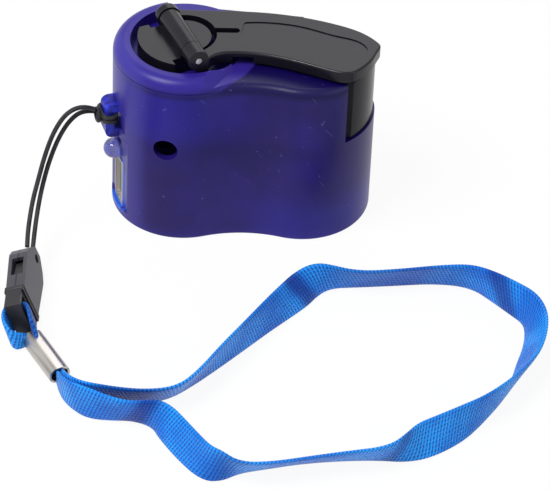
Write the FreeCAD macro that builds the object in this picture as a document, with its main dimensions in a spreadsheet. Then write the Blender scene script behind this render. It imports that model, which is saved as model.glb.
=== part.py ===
"""Hand crank phone charger with a wrist lanyard, as a parametric FreeCAD document.

Millimetres, +Z up.  The origin is on the crank's axis, on the plane that the charger
stands on.  +X runs along the bean-shaped housing towards the folded grip, and -Y is
the front, where the housing has its waist.  Headings are degrees about +Z from +X.
"""
import FreeCAD
import Part
import math
import os
import re
from FreeCAD import Placement, Rotation, Vector

SIZES = {
    # housing outline: two lobes, a hollow front waist, a straight back that rounds to the right
    "lobe_left_radius": 16.9,
    "lobe_right_radius": 16.8,
    "lobe_distance": 28.3,
    "waist_half_width": 14.7,
    "corner_radius": 11.0,
    "corner_heading": 56.0,
    "back_shoulder_radius": 26.0,
    "deck_height": 44.6,
    "deck_edge_radius": 1.8,
    "base_edge_radius": 0.6,
    "wall": 1.8,
    "cavity_top": 41.4,
    "seam_offset": 5.0,
    # round collar and recess about the crank axis
    "collar_top": 46.7,
    "collar_flat_radius": 14.2,
    "collar_drop": 3.0,
    "recess_radius": 12.9,
    "recess_floor": 43.4,
    "collar_line": 0.25,
    "collar_slant_heading": -34.6,
    "collar_slant_reach": 14.0,
    "collar_slant_run": 2.6,
    "collar_gap_heading": 106.0,
    # pocket for the folded grip
    "pocket_floor": 27.7,
    "pocket_wall": 1.2,
    "pocket_gap": 0.35,
    "notch_edge": 37.7,
    # end face with the usb port and the light
    "face_heading": -163.0,
    "face_inset": 1.2,
    "face_bottom": 2.3,
    "face_top": 23.3,
    "face_wall": 2.2,
    # lanyard lug
    "lug_height": 28.0,
    "lug_length": 9.6,
    "lug_stand": 4.2,
    "lug_bar": 2.2,
    "lug_width": 4.4,
    "lug_foot": 2.4,
    "lug_sink": 0.6,
    "lug_round": 1.8,
    # crank hub
    "hub_radius": 11.2,
    "hub_boss_radius": 6.0,
    "hub_bottom": 43.7,
    "hub_top": 47.8,
    "hub_flat": 7.1,
    "hub_notch": 4.7,
    "shaft_radius": 2.5,
    "run_gap": 0.05,
    # hinge barrel between hub and arm
    "hinge_heading": -67.4,
    "hinge_offset": 1.7,
    "hinge_height": 49.4,
    "barrel_radius": 2.55,
    "ear_front_start": 7.5,
    "ear_front_end": 11.7,
    "ear_back_start": 6.0,
    "ear_back_end": 8.4,
    "ear_cap_radius": 2.85,
    "ear_cap_edge": 0.9,
    "ear_gap": 0.15,
    "hinge_pin_radius": 0.75,
    # crank arm
    "arm_bottom": 45.5,
    "arm_top": 48.4,
    "arm_cutout_radius": 7.3,
    "arm_edge_radius": 0.5,
    "arm_relief_gap": 0.35,
    "arm_end_reach": 0.4,
    "panel_depth": 0.25,
    "slot_width": 1.8,
    "slot_length": 5.4,
    "slot_side": 1.6,
    # grip
    "grip_x": 38.2,
    "grip_y": -5.0,
    "grip_bottom": 28.2,
    "grip_top": 44.3,
    "grip_swing": 7.6,
    "grip_front": 7.4,
    "grip_back": 5.6,
    "grip_inset": 0.5,
    "grip_edge_radius": 0.8,
    "grip_pin_radius": 1.5,
    "grip_head_radius": 2.5,
    "grip_head_height": 1.2,
    # gear train
    "gear_module": 0.5,
    "pressure_angle": 20.0,
    "drive_teeth": 44,
    "pinion_teeth": 14,
    "idler_teeth": 30,
    "second_teeth": 24,
    "addendum": 0.8,
    "dedendum": 1.15,
    "backlash": 0.12,
    "idler_heading": 15.0,
    "second_heading": -50.0,
    "rotor_heading": 75.0,
    "drive_bottom": 38.0,
    "drive_height": 3.0,
    "idler_bottom": 34.0,
    "idler_height": 2.4,
    "second_bottom": 30.6,
    "second_height": 2.4,
    "rotor_pinion_bottom": 30.2,
    "rotor_pinion_height": 3.2,
    "axle_radius": 0.8,
    "sleeve_radius": 1.5,
    "axle_float": 0.15,
    # gear plate and generator
    "plate_bottom": 24.3,
    "plate_height": 1.6,
    "plate_gap": 0.1,
    "ledge_depth": 1.7,
    "can_radius": 7.0,
    "can_height": 16.0,
    "can_wall": 0.6,
    "cap_height": 2.0,
    "rotor_radius": 4.0,
    "rotor_height": 8.0,
    "rotor_shaft_radius": 0.75,
    # usb socket, light, dc socket and board
    "usb_height": 13.2,
    "usb_width": 5.9,
    "usb_depth": 13.0,
    "usb_wall": 0.4,
    "usb_centre": 8.7,
    "usb_proud": 0.3,
    "tongue_thickness": 1.8,
    "tongue_gap": 1.0,
    "tongue_depth": 1.2,
    "tongue_side": 1.0,
    "led_radius": 2.5,
    "led_height": 18.1,
    "led_neck": 1.5,
    "led_body": 5.0,
    "lead_width": 0.5,
    "lead_pitch": 2.54,
    "jack_x": -4.35,
    "jack_height": 26.6,
    "jack_hole": 2.85,
    "jack_bore": 2.75,
    "jack_pin": 1.0,
    "jack_body": 8.6,
    "jack_depth": 9.0,
    "jack_end": 1.0,
    "board_thickness": 1.2,
    "board_width": 13.0,
    "board_gap": 0.3,
    # screws through the rear shell
    "boss_radius": 2.6,
    "boss_gap": 0.2,
    "screw_radius": 1.1,
    "screw_head_radius": 2.0,
    "screw_head_height": 1.4,
    "screw_grip": 5.0,
    "screw_sink": 1.2,
    # lanyard
    "cord_diameter": 1.1,
    "cord_gap": 0.05,
    "strap_width": 8.5,
    "strap_thickness": 1.1,
    "buckle_width": 10.4,
    "buckle_thickness": 4.6,
    "buckle_socket_length": 17.0,
    "buckle_plug_length": 7.0,
    "buckle_bar": 1.6,
    "buckle_bar_half_height": 1.9,
    "buckle_heading": -93.0,
    "buckle_lean": 20.0,
    "buckle_x": -36.0,
    "buckle_y": -29.5,
    "ferrule_length": 14.0,
    "ferrule_width": 5.2,
    "ferrule_thickness": 4.2,
    "ferrule_wall": 0.5,
    "gather_tail": 1.5,
    "tab_width": 7.2,
    "tab_gap": 0.2,
    "strap_end_gap": 0.3,
    "strap_end_apart": 1.4,
    "ferrule_x": -31.1,
    "ferrule_y": -61.0,
    "ferrule_heading": -61.6,
}

doc = FreeCAD.newDocument("hand_crank_charger")
sheet = doc.addObject("Spreadsheet::Sheet", "sizes")
for row, (alias, value) in enumerate(SIZES.items(), start=1):
    sheet.set(f"A{row}", alias)
    sheet.set(f"B{row}", str(value))
    sheet.setAlias(f"B{row}", alias)
doc.recompute()

UP = Vector(0, 0, 1)
BACK = Vector(0, 1, 0)
PLENTY = 80.0  # more than any half length of the charger, for tools that cut right through
PARTS = {}


def size(alias):
    """A driving dimension, read from the sheet."""
    return float(sheet.get(alias))


def formula(text):
    """An expression whose size names point at the sheet's cells."""
    return re.sub(r"[a-z_]+", lambda m: "sizes." + m[0] if m[0] in SIZES else m[0], text)


def heading(degrees, length=1.0, z=0.0):
    """A vector of a given length along a heading in the plane."""
    angle = math.radians(degrees)
    return Vector(length * math.cos(angle), length * math.sin(angle), z)


def place(item, x="0", y="0", z="0"):
    """Bind an object's position to formulas of the sheet's sizes."""
    for axis, text in zip("xyz", (x, y, z)):
        item.setExpression(f"Placement.Base.{axis}", formula(text))
    return item


def cylinder(name, radius, height, x="0", y="0", z="0", turn=None):
    """A Part::Cylinder with bound sizes; turn is a fixed rotation of its axis."""
    item = doc.addObject("Part::Cylinder", name)
    if turn:
        item.Placement = Placement(Vector(), turn)
    item.setExpression("Radius", formula(radius))
    item.setExpression("Height", formula(height))
    return place(item, x, y, z)


def cut(name, base, tool):
    """A Part::Cut of two document objects."""
    item = doc.addObject("Part::Cut", name)
    item.Base = base
    item.Tool = tool
    return item


def fuse(name, *items):
    """A Part::MultiFuse of document objects."""
    item = doc.addObject("Part::MultiFuse", name)
    item.Shapes = list(items)
    item.Refine = True
    return item


def keep(node, item):
    """Name a document object as one of the charger's sub-parts."""
    item.Label = node
    PARTS[node] = item
    return item


def solid(node, shape):
    """A sub-part whose shape is made by Part's functions from the sheet's sizes."""
    item = doc.addObject("Part::Feature", node)
    if shape.ShapeType == "Compound" and len(shape.Solids) == 1:
        shape = shape.Solids[0]
    item.Shape = shape
    return keep(node, item)


def tube(radius, height, at, axis=UP):
    """A plain cylinder shape from a point along an axis."""
    return Part.makeCylinder(radius, height, at, axis)


def slab(low, high):
    """A box shape between two opposite corners."""
    return Part.makeBox(high.x - low.x, high.y - low.y, high.z - low.z, low)


def prism(points, bottom, height):
    """A polygon in the plane, raised from one height by another."""
    ring = [Vector(p[0], p[1], bottom) for p in points]
    face = Part.Face(Part.makePolygon(ring + ring[:1]))
    return face.extrude(Vector(0, 0, height))


def aim(start, end):
    """The heading from one point to another."""
    return math.degrees(math.atan2(end.y - start.y, end.x - start.x))


def arc(centre, radius, start, end):
    """An arc edge between two headings about a centre, at the centre's height."""
    stops = (start, (start + end) / 2, end)
    points = [centre + heading(angle, radius) for angle in stops]
    return Part.Arc(*points).toShape()


# ------------------------------------------------------------------ housing

def bean(inset, bottom, height):
    """The housing's bean outline, moved inwards by an inset and raised to a prism."""
    left = size("lobe_left_radius")
    right = size("lobe_right_radius")
    span = size("lobe_distance")
    waist = size("waist_half_width")
    left_centre = Vector(0, 0, bottom)
    right_centre = Vector(span, 0, bottom)
    # the waist's hollow arc touches both lobes from outside
    lean = (left - right) / span
    middle = span / 2 + lean * (left + right) / 2
    a, b = lean * lean, 2 * (middle * lean + waist - left)
    c = middle * middle + waist * waist - left * left
    hollow = -2 * c / (b - math.sqrt(b * b - 4 * a * c))
    hollow_centre = Vector(middle + lean * hollow, -(waist + hollow), bottom)
    front_left = aim(left_centre, hollow_centre)
    front_right = aim(right_centre, hollow_centre)
    # behind, the right lobe tightens to a corner, then eases through a shoulder to a straight back
    corner = size("corner_radius")
    shoulder = size("back_shoulder_radius")
    turn = size("corner_heading")
    corner_centre = right_centre + heading(0, right - corner)
    shoulder_centre = corner_centre + heading(turn, corner - shoulder)
    apart = math.hypot(shoulder_centre.x, shoulder_centre.y)
    back = aim(left_centre, shoulder_centre) + math.degrees(math.acos((left - shoulder) / apart))
    edges = [
        arc(left_centre, left - inset, back, front_left + 360),
        arc(hollow_centre, hollow + inset, front_left + 180, front_right + 180),
        arc(right_centre, right - inset, front_right, 0),
        arc(corner_centre, corner - inset, 0, turn),
        arc(shoulder_centre, shoulder - inset, turn, back),
        Part.LineSegment(shoulder_centre + heading(back, shoulder - inset),
                         left_centre + heading(back, left - inset)).toShape(),
    ]
    wire = Part.Wire(Part.__sortEdges__(edges))
    return Part.Face(wire).extrude(Vector(0, 0, height))


def edges_at(shape, z):
    """The edges of a shape that lie wholly in one level plane."""
    box = [(e, e.BoundBox) for e in shape.Edges]
    return [e for e, b in box if abs(b.ZMin - z) < 1e-6 and abs(b.ZMax - z) < 1e-6]


def housing_outside():
    """The closed outer form: the bean, its rounded rims, and the collar on the left lobe."""
    deck = size("deck_height")
    body = bean(0, 0, deck)
    body = body.makeFillet(size("deck_edge_radius"), edges_at(body, deck))
    body = body.makeFillet(size("base_edge_radius"), edges_at(body, 0))
    wall = size("lobe_left_radius")
    top = size("collar_top")
    flat = size("collar_flat_radius")
    low = top - size("collar_drop")
    ease = math.sqrt(0.5)
    bend = Vector(flat + (wall - flat) * ease, 0, low + (top - low) * ease)
    start = size("cavity_top")
    corners = [Vector(0, 0, top), Vector(0, 0, start), Vector(wall, 0, start)]
    corners.append(Vector(wall, 0, low))
    edges = [Part.LineSegment(p, q).toShape() for p, q in zip(corners, corners[1:])]
    edges.append(Part.Arc(corners[-1], bend, Vector(flat, 0, top)).toShape())
    edges.append(Part.LineSegment(Vector(flat, 0, top), corners[0]).toShape())
    collar = Part.Face(Part.Wire(edges)).revolve(Vector(), UP, 360)
    # a fine line parts the collar from the wall below it
    line = size("collar_line")
    groove = tube(wall + line, line, Vector(0, 0, low - line))
    collar = collar.cut(groove.cut(tube(wall - line / 2, line, Vector(0, 0, low - line))))
    # the collar is open where the folded arm lies, and slants down to the deck at its front end
    far = 3 * wall
    front = heading(size("collar_slant_heading"), far)
    back = heading(size("collar_gap_heading"), far)
    gap = [(0, 0), (front.x, front.y), (far, far), (back.x, back.y)]
    collar = collar.cut(prism(gap, deck, top)).cut(collar_slant(deck, top, far))
    # where the collar's wall stands inside the bean, only the part over the deck counts
    whole = body.fuse(collar.common(bean(0, 0, top + 1)))
    return whole.removeSplitter()


def collar_slant(deck, top, far):
    """The wedge that slants the collar's front end, from its top down to the deck."""
    reach = size("collar_slant_reach")
    run = size("collar_slant_run")
    side = [(reach, deck), (far, deck), (far, top), (reach - run, top)]
    ring = [Vector(x, -far, z) for x, z in side]
    wedge = Part.Face(Part.makePolygon(ring + ring[:1])).extrude(Vector(0, 2 * far, 0))
    return turned(wedge, size("collar_slant_heading"))


def pocket(grow=0.0):
    """The space that the folded grip needs: a round bay, open outwards and to the back.

    grow widens it for the wall round it.  The bay is a cylinder about the grip's own
    pivot; behind it the pocket follows a circle about the crank axis, so the grip can
    leave it as the crank starts to turn.
    """
    pivot = Vector(size("grip_x"), size("grip_y"), 0)
    bay = size("grip_swing") + size("pocket_gap")
    inner = pivot.Length - bay
    low = size("pocket_floor") - (size("wall") if grow else 0)
    tall = size("deck_height") - low + 5
    far = 2 * pivot.Length
    start = math.degrees(math.atan2(pivot.y, pivot.x))
    ring = tube(far, tall, Vector(0, 0, low)).cut(tube(inner - grow, tall, Vector(0, 0, low)))
    sweep = [heading(start + turn, 3 * far) for turn in (0, 40, 80)]
    ring = ring.common(prism([(0, 0)] + [(p.x, p.y) for p in sweep], low, tall))
    edge = size("notch_edge") - grow
    mouth = slab(Vector(edge, -far, low), Vector(far, 0, low + tall))
    return ring.fuse(tube(bay + grow, tall, Vector(pivot.x, pivot.y, low))).fuse(mouth)


def turned(shape, angle, at=Vector()):
    """A copy of a shape made along +X, turned to a heading and moved to a point."""
    copy = shape.copy()
    copy.rotate(Vector(), UP, angle)
    copy.translate(at)
    return copy


def outward(x_low, x_high, half_width, z_low, z_high):
    """A box on the end face's heading: its span outwards, its half width and heights."""
    box = slab(Vector(x_low, -half_width, z_low), Vector(x_high, half_width, z_high))
    return turned(box, size("face_heading"))


def face_distance():
    """How far the flat end face stands from the crank axis."""
    return size("lobe_left_radius") - size("face_inset")


def bosses():
    """The x and z of the three shell screws; the top one stands beside the dc socket."""
    beside = size("jack_x") + size("jack_body") / 2 + size("boss_radius") + size("boss_gap")
    return (4.0, 7.0), (36.5, 13.0), (beside, 33.0)


def ledges():
    """The ledges under the gear plate, as x low, y low, x high and y high."""
    front = -size("waist_half_width") + size("wall") + size("ledge_depth")
    return (-4.0, 9.5, 4.0, PLENTY), (11.0, -PLENTY, 17.0, front), (33.0, 4.0, 38.0, PLENTY)


def boss(x, z, radius, y_from, y_to):
    """A cylinder along Y at one shell screw."""
    return tube(radius, y_to - y_from, Vector(x, y_from, z), BACK)


def housing_cavity():
    """The room inside the housing, less the walls round pocket, end face and screws."""
    wall = size("wall")
    room = bean(wall, wall, size("cavity_top") - wall)
    room = room.cut(pocket(size("pocket_wall")))
    face = face_distance()
    inside = face - size("face_wall")
    room = room.cut(outward(inside, PLENTY, PLENTY, 0, size("face_top") + wall))
    lug = size("lug_height")
    half = size("lug_length") / 2
    pad = size("lug_width") / 2 + wall / 2
    room = room.cut(outward(inside, PLENTY, pad, lug - half, lug + half))
    for x, z in bosses():
        room = room.cut(boss(x, z, size("boss_radius"), -PLENTY, PLENTY))
    seat = size("plate_bottom")
    for x_low, y_low, x_high, y_high in ledges():
        room = room.cut(slab(Vector(x_low, y_low, seat - wall), Vector(x_high, y_high, seat)))
    return room


def lug_reach():
    """How far the lug's bar stands from the crank axis."""
    return face_distance() + size("lug_stand")


def lug():
    """The lanyard lug: a bar that stands off the wall on two feet, with a slot behind it."""
    half = size("lug_length") / 2
    middle = size("lug_height")
    reach = lug_reach()
    inside = face_distance() - size("lug_sink") / 3
    width = size("lug_width") / 2
    block = outward(inside, reach, width, middle - half, middle + half)
    corners = [e for e in block.Edges if abs(e.Length - 2 * width) < 1e-6]
    along = heading(size("face_heading"))
    outer = [e for e in corners if e.CenterOfMass.dot(along) > reach - 0.1]
    block = block.makeFillet(size("lug_round"), outer)
    bar = size("lug_bar")
    foot = half - size("lug_foot")
    slot = outward(inside + size("lug_sink"), reach - bar, PLENTY, middle - foot, middle + foot)
    return block, slot


def build_housing():
    """Front and rear shells: one hollow bean, parted by a flat seam behind its front."""
    body = housing_outside()
    body = body.cut(tube(size("recess_radius"), PLENTY, Vector(0, 0, size("recess_floor"))))
    body = body.cut(pocket())
    face = face_distance()
    block, slot = lug()
    body = body.cut(outward(face, PLENTY, PLENTY, size("face_bottom"), size("face_top")))
    body = body.cut(housing_cavity())
    body = body.fuse(block).cut(slot)
    tall = size("usb_height") / 2
    port = size("usb_centre")
    inside = face - 2 * size("face_wall")
    body = body.cut(outward(inside, PLENTY, size("usb_width") / 2, port - tall, port + tall))
    along = heading(size("face_heading"))
    led = along * inside + UP * size("led_height")
    body = body.cut(tube(size("led_radius"), PLENTY, led, along))
    jack = Vector(size("jack_x"), -size("lobe_left_radius") - 1, size("jack_height"))
    body = body.cut(tube(size("jack_hole"), 3 * size("wall"), jack, BACK))
    bush = size("shaft_radius") + size("run_gap")
    body = body.cut(tube(bush, PLENTY, Vector(0, 0, size("cavity_top") - 1)))
    seam = -size("seam_offset")
    for x, z in bosses():
        body = body.cut(boss(x, z, size("screw_radius"), seam - size("screw_grip") - 1, PLENTY))
        head = back_of(x) - size("screw_head_height")
        body = body.cut(boss(x, z, size("screw_head_radius"), head, PLENTY))
    front = slab(Vector(-PLENTY, -PLENTY, -1), Vector(PLENTY, seam, PLENTY))
    rear = slab(Vector(-PLENTY, seam, -1), Vector(PLENTY, PLENTY, PLENTY))
    solid("front_shell", body.common(front))
    solid("rear_shell", body.common(rear))


def back_of(x):
    """Where the housing's back wall stands at one x, less a screw head's sinking."""
    probe = bean(0, 0, 1).common(slab(Vector(x - 0.01, 0, 0), Vector(x + 0.01, PLENTY, 1)))
    return probe.BoundBox.YMax - size("screw_sink")


def build_shell_screws():
    """Three pan-head screws that hold the shells together from the back."""
    shapes = []
    for x, z in bosses():
        head = back_of(x) - size("screw_head_height")
        tall = size("screw_head_height")
        screw = boss(x, z, size("screw_radius"), -size("seam_offset") - size("screw_grip"), head)
        screw = screw.fuse(boss(x, z, size("screw_head_radius"), head, head + tall))
        long, thin = 0.6 * size("screw_head_radius"), 0.1 * size("screw_head_radius")
        for across, high in ((long, thin), (thin, long)):
            low = Vector(x - across, head + tall / 2, z - high)
            screw = screw.cut(slab(low, Vector(x + across, head + 2 * tall, z + high)))
        shapes.append(screw.removeSplitter())
    solid("shell_screws", Part.makeCompound(shapes))


# ------------------------------------------------------------------ crank

def hinge_frame():
    """The hinge line: a point beside the crank axis, its direction, and its square."""
    along = heading(size("hinge_heading"))
    square = heading(size("hinge_heading") + 90)
    foot = square * -size("hinge_offset") + Vector(0, 0, size("hinge_height"))
    return foot, along, square


def barrel(radius, start, end):
    """A length of the hinge barrel, from one distance along the hinge line to another."""
    foot, along, _ = hinge_frame()
    return tube(radius, end - start, foot + along * start, along)


def hinge_box(start, end, left, right, bottom, top):
    """A box in the hinge's frame: along the line, across it, and in height."""
    foot, _, _ = hinge_frame()
    box = slab(Vector(start, left, bottom), Vector(end, right, top))
    return turned(box, size("hinge_heading"), Vector(foot.x, foot.y, 0))


def build_hub():
    """The hub: a half disc and a smaller boss, with the middle knuckle across them."""
    bottom = size("hub_bottom")
    top = size("hub_top")
    far = PLENTY
    disc = tube(size("hub_radius"), top - bottom, Vector(0, 0, bottom))
    disc = disc.cut(hinge_box(-far, far, 0, far, bottom, top))
    gap = size("ear_gap")
    front = size("ear_front_start") - gap
    back = -size("ear_back_start") + gap
    notch = size("hub_notch")
    disc = disc.cut(hinge_box(front, far, -notch, far, bottom, top))
    disc = disc.cut(hinge_box(-far, -size("hub_flat"), -far, far, bottom, top))
    boss_top = tube(size("hub_boss_radius"), top - bottom, Vector(0, 0, bottom))
    radius = size("barrel_radius")
    knuckle = barrel(radius, back, front)
    web = hinge_box(back, front, -radius, radius, bottom, size("hinge_height"))
    hub = disc.fuse(boss_top).fuse(knuckle).fuse(web)
    hub = hub.cut(hinge_box(front, far, -notch, far, bottom, top + far))
    hub = hub.cut(hinge_box(-far, back, -notch, far, bottom, top + far))
    low = size("drive_bottom")
    shaft = tube(size("shaft_radius"), bottom - low, Vector(0, 0, low))
    hub = hub.fuse(shaft).cut(barrel(size("hinge_pin_radius"), -far, far))
    solid("crank_hub", hub.removeSplitter())


def arm_points(shares, z):
    """Points of the arm, given as shares of its length and of the right lobe's radius."""
    wide = size("lobe_right_radius")
    long = size("lobe_distance") + wide
    return [Vector(x * long, y * wide, z) for x, y in shares]


def arm_outline(bottom, height):
    """The arm seen from above: a waisted front edge, an end on the lobe, a bowed back."""
    reach = size("lobe_right_radius") + size("arm_end_reach")
    centre = Vector(size("lobe_distance"), 0, bottom)
    front = [(0.169, -0.435), (0.244, -0.399), (0.395, -0.435), (0.561, -0.571)]
    front += [(0.725, -0.756), (0.807, -0.827), (0.851, -0.815)]
    back = [(0.994, -0.113), (0.909, 0.113), (0.794, 0.274), (0.570, 0.464)]
    back += [(0.377, 0.542), (0.177, 0.560)]
    around = [centre + heading(turn, reach) for turn in (-47, -38, -28, -18, -9)]
    ring = arm_points(front, bottom) + around + arm_points(back, bottom)
    # next to the hinge the rim starts and ends beside the ears
    foot, along, square = hinge_frame()
    foot.z = bottom
    radius = size("barrel_radius")
    front_end, back_end = size("ear_front_end"), size("ear_back_end")
    start = foot + along * (front_end - radius / 3) + square * 1.1 * radius
    end = foot - along * (back_end + radius / 2) + square * 1.5 * radius
    near_front = foot + along * front_end + square * radius / 12
    near_back = foot - along * back_end + square * radius / 12
    rim = Part.BSplineCurve()
    rim.interpolate([start] + ring + [end])
    edges = [rim.toShape()]
    for p, q in ((end, near_back), (near_back, near_front), (near_front, start)):
        edges.append(Part.LineSegment(p, q).toShape())
    return Part.Face(Part.Wire(edges)).extrude(Vector(0, 0, height))


def arm_panel(bottom, height):
    """The shallow inset on the arm's top, a smaller copy of the arm's own bow."""
    ring = [(0.315, 0.292), (0.455, 0.292), (0.619, 0.196), (0.787, 0.006), (0.900, -0.125)]
    ring += [(0.936, -0.274), (0.922, -0.440), (0.843, -0.589), (0.780, -0.571)]
    ring += [(0.670, -0.435), (0.501, -0.244), (0.333, -0.161), (0.297, -0.083), (0.299, 0.214)]
    curve = Part.BSplineCurve()
    curve.interpolate(arm_points(ring, bottom), PeriodicFlag=True)
    return Part.Face(Part.Wire(curve.toShape())).extrude(Vector(0, 0, height))


def ears():
    """The arm's two hinge ears, each with its radius and span: a plain one in front, and a cap."""
    front = size("ear_front_start"), size("ear_front_end")
    back = -size("ear_back_end"), -size("ear_back_start")
    cap_radius = size("ear_cap_radius")
    cap = barrel(cap_radius, *back)
    foot, along, _ = hinge_frame()
    rim = [e for e in cap.Edges if e.CenterOfMass.isEqual(foot + along * back[0], 1e-4)]
    cap = cap.makeFillet(size("ear_cap_edge"), rim)
    plain = barrel(size("barrel_radius"), *front)
    return (plain, size("barrel_radius"), *front), (cap, cap_radius, *back)


def build_arm():
    """The flat arm with its two hinge ears, hub cut-out, slot, inset and grip boss."""
    bottom = size("arm_bottom")
    top = size("arm_top")
    arm = arm_outline(bottom, top - bottom)
    rim = max(edges_at(arm, top), key=lambda edge: edge.Length)
    arm = arm.makeFillet(size("arm_edge_radius"), [rim])
    arm = arm.cut(tube(size("arm_cutout_radius"), PLENTY, Vector(0, 0, bottom - 1)))
    far = PLENTY
    front = size("ear_front_start")
    back = -size("ear_back_start")
    gap = size("ear_gap")
    middle = hinge_box(back, front, -far, size("barrel_radius") + 4 * gap, bottom, top)
    arm = arm.cut(middle)
    arm = arm.cut(arm_panel(top - size("panel_depth"), 2))
    half = size("slot_width") / 2
    side = size("slot_side")
    last = size("arm_cutout_radius") + size("slot_length") - half
    first = size("arm_cutout_radius") - size("slot_width")
    arm = arm.cut(slab(Vector(first, side - half, bottom - 1), Vector(last, side + half, top + 1)))
    arm = arm.cut(tube(half, top - bottom + 2, Vector(last, side, bottom - 1)))
    # relief under the arm, so that it clears the collar as it turns
    over = size("collar_top") + size("arm_relief_gap")
    inner = size("recess_radius") - size("arm_relief_gap")
    outer = size("lobe_left_radius") + size("arm_relief_gap")
    ring = tube(outer, over - bottom, Vector(0, 0, bottom))
    arm = arm.cut(ring.cut(tube(inner, over - bottom, Vector(0, 0, bottom))))
    for ear, radius, start, end in ears():
        arm = arm.fuse(ear).fuse(hinge_box(start, end, 0, radius, bottom, size("hinge_height")))
    arm = arm.cut(barrel(size("hinge_pin_radius") + size("run_gap"), -far, far))
    grip = Vector(size("grip_x"), size("grip_y"), size("grip_top") + size("ear_gap"))
    arm = arm.fuse(tube(2 * size("grip_pin_radius"), bottom - grip.z, grip))
    arm = arm.cut(tube(size("grip_pin_radius"), top - grip.z - 1, grip))
    solid("crank_arm", arm.removeSplitter())


def build_hinge_pin():
    """The steel pin through hub and ears; its end shows on the front ear."""
    radius = size("hinge_pin_radius")
    shape = barrel(radius, -size("ear_back_end") + 0.4, size("ear_front_end") + 0.25)
    solid("hinge_pin", shape)


def build_grip():
    """The grip: a block that follows the housing's end, with a flat front, on a bore."""
    bottom = size("grip_bottom")
    tall = size("grip_top") - bottom
    pivot = Vector(size("grip_x"), size("grip_y"), 0)
    reach_out = pivot.Length
    pivot.z = bottom
    shape = tube(size("grip_swing"), tall, pivot)
    reach = size("lobe_right_radius") - size("grip_inset")
    shape = shape.common(tube(reach, tall, Vector(size("lobe_distance"), 0, bottom)))
    front = pivot.y - size("grip_front")
    inner = reach_out - size("grip_back")
    shape = shape.common(slab(Vector(0, front, bottom), Vector(PLENTY, PLENTY, bottom + tall)))
    shape = shape.cut(tube(inner, tall, Vector(0, 0, bottom)))
    uprights = [e for e in shape.Edges if abs(e.BoundBox.ZLength - tall) < 1e-6]
    uprights = [e for e in uprights if len(e.Vertexes) == 2 and e.Length < tall + 1e-3]
    shape = shape.makeFillet(size("grip_edge_radius"), uprights)
    pin = size("grip_pin_radius") + size("run_gap")
    shape = shape.cut(tube(pin, tall, pivot))
    head = size("grip_head_radius") + 4 * size("run_gap")
    shape = shape.cut(tube(head, size("grip_head_height") + 0.6, pivot))
    solid("crank_grip", shape)


def build_grip_pin():
    """The rivet that carries the grip: a shank pressed into the arm, with a flat head."""
    low = "grip_bottom + 0.4"
    shank = cylinder("grip_shank", "grip_pin_radius", "arm_top - 1 - grip_bottom - 0.4",
                     "grip_x", "grip_y", low)
    head = cylinder("grip_head", "grip_head_radius", "grip_head_height", "grip_x", "grip_y", low)
    keep("grip_pin", fuse("grip_rivet", shank, head))


# ------------------------------------------------------------------ gear train

def tooth_flank(teeth, pitch, base, tip, root):
    """Half a tooth, from root to tip: points of (radius, half angle) on an involute."""
    pressure = math.acos(base / pitch)
    half = math.pi / (2 * teeth) - size("backlash") / (2 * pitch)
    start = half + math.tan(pressure) - pressure
    low = max(base, root)
    points = [(root, start)] if root < base else []
    steps = 4
    for step in range(steps + 1):
        radius = low + (tip - low) * step / steps
        angle = math.acos(min(1.0, base / radius))
        points.append((radius, start - math.tan(angle) + angle))
    return points


def gear(teeth, phase, centre, bottom, height):
    """A spur gear with involute teeth; phase is the heading of one tooth in degrees."""
    module = size("gear_module")
    pitch = module * teeth / 2
    base = pitch * math.cos(math.radians(size("pressure_angle")))
    tip = pitch + size("addendum") * module
    root = pitch - size("dedendum") * module
    flank = tooth_flank(teeth, pitch, base, tip, root)
    points = []
    for index in range(int(teeth)):
        middle = math.radians(phase) + 2 * math.pi * index / teeth
        for side, part in ((-1, flank), (1, flank[::-1])):
            for radius, half in part:
                angle = middle + side * half
                edge = heading(math.degrees(angle), radius)
                points.append((centre.x + edge.x, centre.y + edge.y))
    return prism(points, bottom, height)


def mesh_phase(teeth_from, phase_from, teeth_to, line):
    """The phase of a gear that meshes with another, along the heading between them."""
    step = 360 / teeth_from
    share = ((line - phase_from) / step) % 1
    return line + 180 - (0.5 - share) * 360 / teeth_to


def gear_layout():
    """Centres, headings and phases of the train, from the crank to the generator."""
    module = size("gear_module")
    drive, pinion = size("drive_teeth"), size("pinion_teeth")
    idler, second = size("idler_teeth"), size("second_teeth")
    first = heading(size("idler_heading"), module * (drive + pinion) / 2)
    next_one = first + heading(size("second_heading"), module * (idler + pinion) / 2)
    last = next_one + heading(size("rotor_heading"), module * (second + pinion) / 2)
    phase_first = mesh_phase(drive, 0, pinion, size("idler_heading"))
    phase_next = mesh_phase(idler, phase_first, pinion, size("second_heading"))
    phase_last = mesh_phase(second, phase_next, pinion, size("rotor_heading"))
    return (first, phase_first), (next_one, phase_next), (last, phase_last)


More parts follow.
